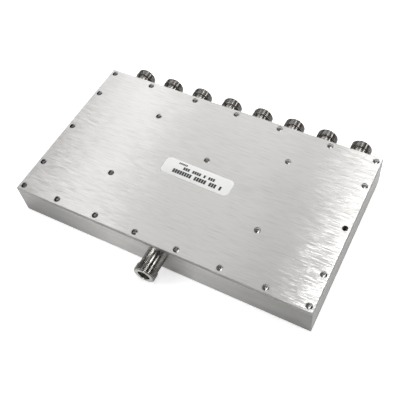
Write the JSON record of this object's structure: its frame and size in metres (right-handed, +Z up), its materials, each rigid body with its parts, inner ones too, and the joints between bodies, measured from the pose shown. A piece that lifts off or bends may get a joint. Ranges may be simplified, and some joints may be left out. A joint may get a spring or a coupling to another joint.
{
  "type": "rf power splitter",
  "caption": "Flat rectangular metal case with a screwed lid, one coaxial input jack on one long side and a row of coaxial output jacks on the other.",
  "frame": {"origin": "centre of the case's underside", "axes": "+X along the case's long side, +Y from the input jack to the row of output jacks, +Z up out of the lid"},
  "size_m": [0.2286, 0.1622, 0.0278],
  "materials": {
    "case_aluminium": "milled, satin",
    "lid_aluminium": "brushed along the long side",
    "screw_steel": "plain, slightly dark",
    "jack_nickel": "bright nickel plate on brass",
    "bead_plastic": "waxy white",
    "contact_gold": "gold plate",
    "laminate": "bare laminate",
    "copper": "bare copper",
    "chip_ceramic": "matte",
    "label_film": "matte"
  },
  "bodies": {
    "root": {"housing": "case_aluminium", "top_cover": "lid_aluminium", "cover_screws": "screw_steel", "circuit_board": "laminate", "board_screws": "screw_steel", "copper_lines": "copper", "isolation_resistors": "chip_ceramic", "label": "label_film", "input_shell": "jack_nickel", "input_insulator": "bead_plastic", "input_contact": "contact_gold", "output_1_shell": "jack_nickel", "output_1_insulator": "bead_plastic", "output_1_contact": "contact_gold", "output_2_shell": "jack_nickel", "output_2_insulator": "bead_plastic", "output_2_contact": "contact_gold", "output_3_shell": "jack_nickel", "output_3_insulator": "bead_plastic", "output_3_contact": "contact_gold", "output_4_shell": "jack_nickel", "output_4_insulator": "bead_plastic", "output_4_contact": "contact_gold", "output_5_shell": "jack_nickel", "output_5_insulator": "bead_plastic", "output_5_contact": "contact_gold", "output_6_shell": "jack_nickel", "output_6_insulator": "bead_plastic", "output_6_contact": "contact_gold", "output_7_shell": "jack_nickel", "output_7_insulator": "bead_plastic", "output_7_contact": "contact_gold", "output_8_shell": "jack_nickel", "output_8_insulator": "bead_plastic", "output_8_contact": "contact_gold"}
  },
  "joints": []
}
